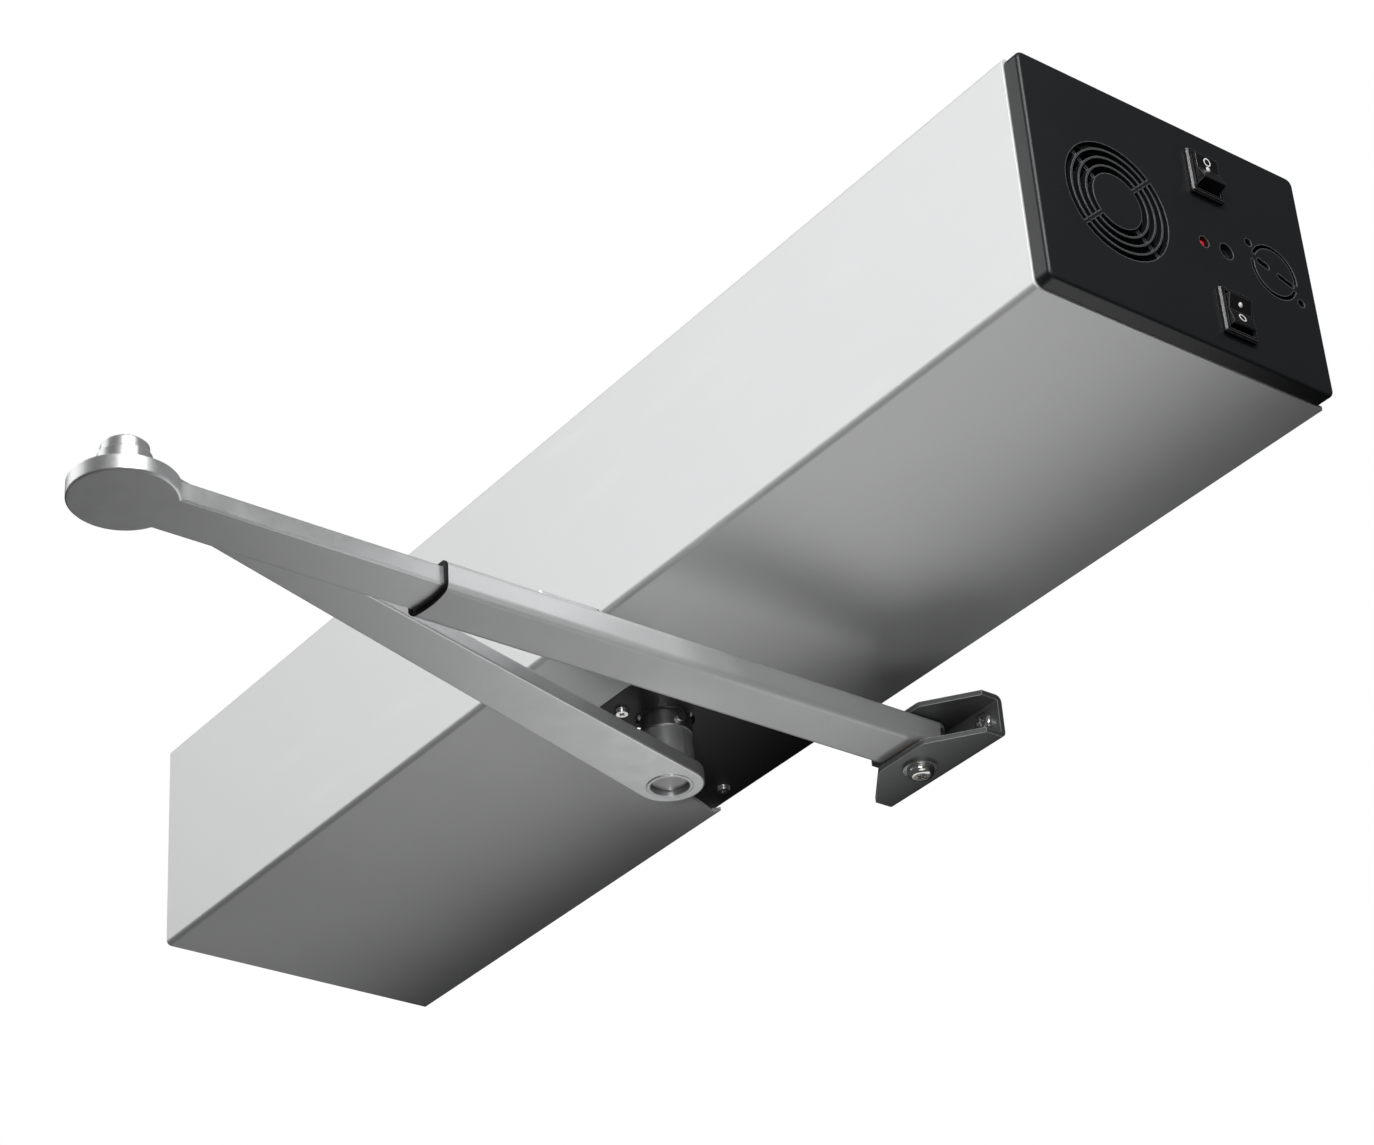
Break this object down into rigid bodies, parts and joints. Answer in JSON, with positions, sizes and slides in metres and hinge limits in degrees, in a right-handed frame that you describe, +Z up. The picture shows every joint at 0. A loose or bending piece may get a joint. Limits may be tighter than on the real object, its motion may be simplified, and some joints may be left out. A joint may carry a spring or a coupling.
{
  "type": "swing door operator",
  "caption": "Surface-mounted swing-door operator: long box body with geared motor, fan and switches in its end cap, and a folding push arm with a telescopic forearm ending in a door shoe.",
  "frame": {"origin": "centre of the wall-mounting face of the body, at mid-height", "axes": "+X along the body towards the switch cap, +Y into the wall, +Z up; the arm hangs below and in front of the body"},
  "size_m": [0.5429, 0.3495, 0.1346],
  "materials": {
    "cover_paint": "satin powder coat",
    "chassis_black": "black satin",
    "cap_plastic": "fine matt grain",
    "switch_plastic": "semi-gloss",
    "arm_silver": "silver-painted casting",
    "channel_silver": "silver paint",
    "shoe_steel": "dark zinc",
    "zinc": "bright zinc",
    "steel": "machined",
    "cast_alu": "as cast",
    "bronze": "sintered",
    "fan_plastic": "matt",
    "led_red": "clear red",
    "board_green": "solder mask",
    "terminal_green": "moulded",
    "relay_body": "moulded",
    "capacitor_sleeve": "shrink sleeve",
    "magnet": "ferrite",
    "psu_cage": "plated sheet"
  },
  "bodies": {
    "body": {"chassis": "chassis_black", "left_end_plate": "chassis_black", "end_cap": "cap_plastic", "end_screws": "zinc", "power_switch_body": "switch_plastic", "mode_switch_body": "switch_plastic", "switch_board": "board_green", "status_led": "led_red", "learn_switch": "fan_plastic", "fan_frame": "fan_plastic", "fan_screws": "zinc", "gearbox_base": "cast_alu", "gearbox_lid": "cast_alu", "lid_screws": "zinc", "lower_bearing": "steel", "upper_bearing": "steel", "shelf_screws": "zinc", "gearhead": "cast_alu", "gearhead_screws": "zinc", "motor_can": "steel", "motor_end_bell": "cast_alu", "motor_magnets": "magnet", "encoder_board": "board_green", "encoder_sensor": "fan_plastic", "board_standoffs": "bronze", "main_board": "board_green", "relays": "relay_body", "capacitors": "capacitor_sleeve", "terminal_blocks": "terminal_green", "heat_sink": "cast_alu", "power_supply": "psu_cage"},
    "cover": {"cover": "cover_paint"},
    "fan_impeller": {"fan_impeller": "fan_plastic"},
    "power_rocker": {"power_rocker": "switch_plastic"},
    "mode_rocker": {"mode_rocker": "switch_plastic"},
    "learn_button": {"learn_button": "switch_plastic"},
    "motor_rotor": {"motor_rotor": "steel", "encoder_disc": "fan_plastic"},
    "pinion": {"pinion": "steel"},
    "drive_arm": {"output_gear": "steel", "output_spindle": "steel", "spindle_collar": "steel", "collar_set_screws": "zinc", "main_arm": "arm_silver", "arm_bolt": "zinc", "elbow_bush": "bronze"},
    "forearm": {"forearm": "arm_silver", "elbow_bolt": "arm_silver", "elbow_spacer": "bronze", "clamp_plate": "steel", "clamp_screws": "zinc"},
    "channel": {"channel": "channel_silver"},
    "shoe": {"shoe": "shoe_steel", "shoe_bolt": "zinc", "shoe_bolt_washer": "zinc", "shoe_nut": "zinc", "pivot_washer": "bronze", "pivot_sleeve": "bronze", "shoe_screws": "zinc"}
  },
  "joints": [
    {"name": "cover_pull", "type": "slide", "parent": "body", "child": "cover", "axis": [0, -1, 0], "range_m": [0, 0.14]},
    {"name": "fan_spin", "type": "hinge", "parent": "body", "child": "fan_impeller", "pos_m": [0.2652, -0.0895, -0.0015], "axis": [1, 0, 0], "continuous": true},
    {"name": "power_switch", "type": "hinge", "parent": "body", "child": "power_rocker", "pos_m": [0.272, -0.0468, 0.026], "axis": [0, -1, 0], "range_deg": [-24, 0]},
    {"name": "mode_switch", "type": "hinge", "parent": "body", "child": "mode_rocker", "pos_m": [0.272, -0.043, -0.0284], "axis": [0, -1, 0], "range_deg": [-10, 10]},
    {"name": "learn_press", "type": "slide", "parent": "body", "child": "learn_button", "axis": [-1, 0, 0], "range_m": [0, 0.0004], "stiffness_N_per_m": 500},
    {"name": "motor_turn", "type": "hinge", "parent": "body", "child": "motor_rotor", "pos_m": [-0.13, -0.0595, 0.014], "axis": [1, 0, 0], "range_deg": [-2160, 4680]},
    {"name": "pinion_turn", "type": "hinge", "parent": "body", "child": "pinion", "pos_m": [-0.06, -0.0595, -0.02], "axis": [0, 0, 1], "range_deg": [-390, 180]},
    {"name": "spindle_turn", "type": "hinge", "parent": "body", "child": "drive_arm", "pos_m": [-0.012, -0.0595, -0.02], "axis": [0, 0, 1], "range_deg": [-60, 130]},
    {"name": "elbow_fold", "type": "hinge", "parent": "drive_arm", "child": "forearm", "pos_m": [0.0661, -0.3268, -0.07], "axis": [0, 0, 1], "range_deg": [-165, 4]},
    {"name": "forearm_extend", "type": "slide", "parent": "forearm", "child": "channel", "axis": [0, 1, 0], "range_m": [-0.06, 0.035]},
    {"name": "shoe_swivel", "type": "hinge", "parent": "channel", "child": "shoe", "pos_m": [0.0661, -0.0075, -0.0769], "axis": [0, 0, 1], "range_deg": [-55, 55]}
  ],
  "couplings": [
    {"joint": "pinion_turn", "follows": "spindle_turn", "ratio": -3},
    {"joint": "motor_turn", "follows": "spindle_turn", "ratio": 36}
  ]
}
